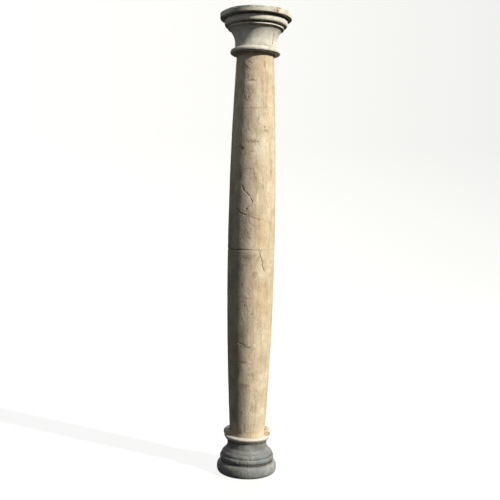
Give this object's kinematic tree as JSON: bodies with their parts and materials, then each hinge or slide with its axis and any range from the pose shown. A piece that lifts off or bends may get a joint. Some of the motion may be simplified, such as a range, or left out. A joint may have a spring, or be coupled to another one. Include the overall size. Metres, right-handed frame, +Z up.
{
  "type": "marble column",
  "caption": "Free-standing round column of weathered marble: turned moulded base, plain shaft with a strong swelling in two drums and a broken ring round its foot, and a turned capital under a round abacus.",
  "frame": {"origin": "centre of the underside of the base, on the ground", "axes": "+Z up along the column's axis; -Y towards the side that the picture shows"},
  "size_m": [0.444, 0.444, 2.8463],
  "materials": {
    "base_marble": "weathered grey marble, matt, whiter on the collar, with grime in the hollows",
    "shaft_marble": "weathered tan and cream marble, matt, cracked and pitted, with moss-green and brown stains",
    "capital_marble": "weathered cream-white marble, matt, with grey and green grime"
  },
  "bodies": {
    "root": {"base": "base_marble", "lower_drum": "shaft_marble", "upper_drum": "shaft_marble", "capital": "capital_marble"}
  },
  "joints": []
}
